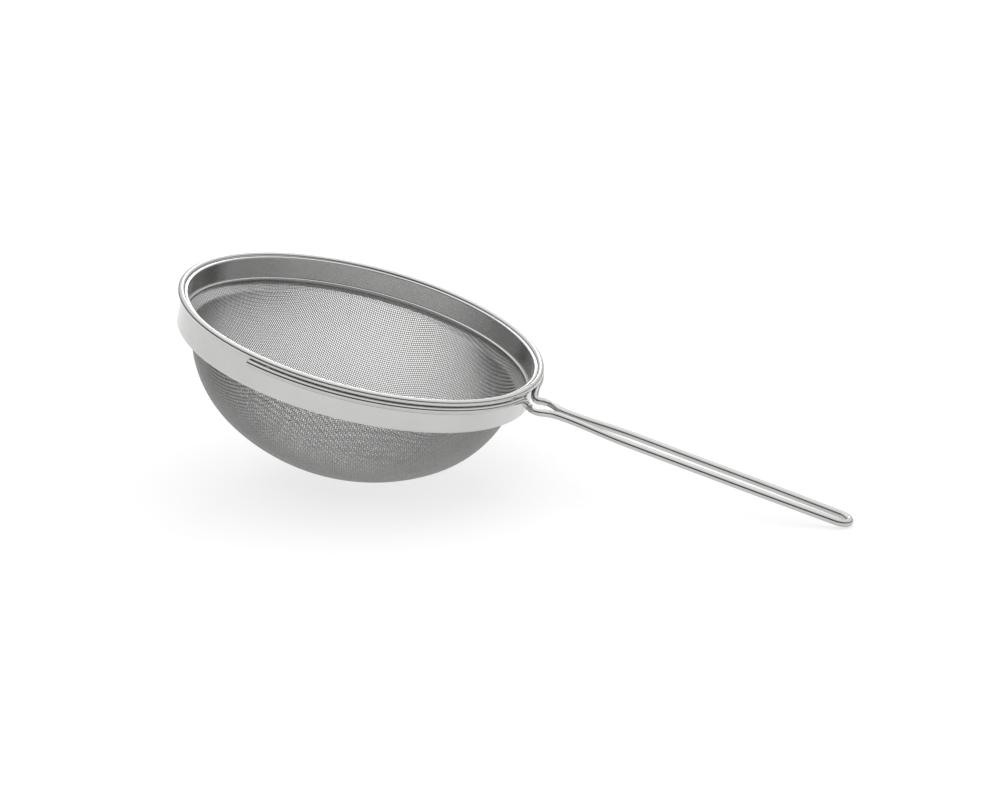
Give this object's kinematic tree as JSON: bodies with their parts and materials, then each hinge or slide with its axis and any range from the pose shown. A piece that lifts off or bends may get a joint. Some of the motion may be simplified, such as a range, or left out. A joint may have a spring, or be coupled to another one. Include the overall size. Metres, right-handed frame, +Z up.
{
  "type": "tea strainer",
  "caption": "Handled tea strainer: a round bowl of fine woven wire cloth in a rolled sheet rim, with a long loop handle of bent wire, lying on its bowl and handle end.",
  "frame": {"origin": "on the table, at the middle of the footprint (the bottom centre of the bounding box)", "axes": "+Z up from the table, +X towards the outer end of the handle, +Y to the left of the handle seen from the bowl; the strainer lies on its bowl and on its handle's end, with the rim's plane tipped down towards the handle by 15.1 degrees"},
  "size_m": [0.1466, 0.0808, 0.0439],
  "materials": {
    "sheet_steel": "rolled stainless sheet, satin, with faint lines round the rim",
    "wire_steel": "bright drawn stainless wire, electropolished",
    "wire_cloth": "plain woven stainless wire cloth",
    "weld_steel": "small spot welds, slightly duller and rougher than the wire"
  },
  "bodies": {
    "root": {"rim_collar": "sheet_steel", "rim_core_wire": "wire_steel", "clamp_ring": "sheet_steel", "mesh_bowl": "wire_cloth", "handle_wire": "wire_steel", "collar_seam_weld": "weld_steel", "left_inner_weld": "weld_steel", "left_outer_weld": "weld_steel", "right_inner_weld": "weld_steel", "right_outer_weld": "weld_steel"}
  },
  "joints": []
}
